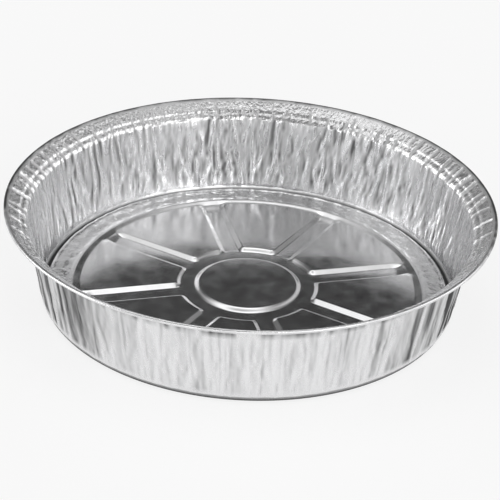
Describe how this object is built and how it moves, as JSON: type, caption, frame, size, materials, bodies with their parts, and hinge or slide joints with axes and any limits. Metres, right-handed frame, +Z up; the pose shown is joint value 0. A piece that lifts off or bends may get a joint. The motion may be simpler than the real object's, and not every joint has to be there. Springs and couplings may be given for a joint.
{
  "type": "foil pie tin",
  "caption": "Round pressed-foil pie tin with a pleated leaning wall, a sloping flange with a rolled edge, and a floor stiffened by a hub ring and spoke grooves.",
  "frame": {"origin": "centre of the foot ring, on the surface the tin stands on", "axes": "+Z up along the tin's axis, out of its mouth; +X to the right in the picture and +Y away from the camera"},
  "size_m": [0.23, 0.23, 0.0465],
  "materials": {
    "foil": "bright foil, finely crinkled on the wall and flange"
  },
  "bodies": {
    "root": {"tin": "foil"}
  },
  "joints": []
}
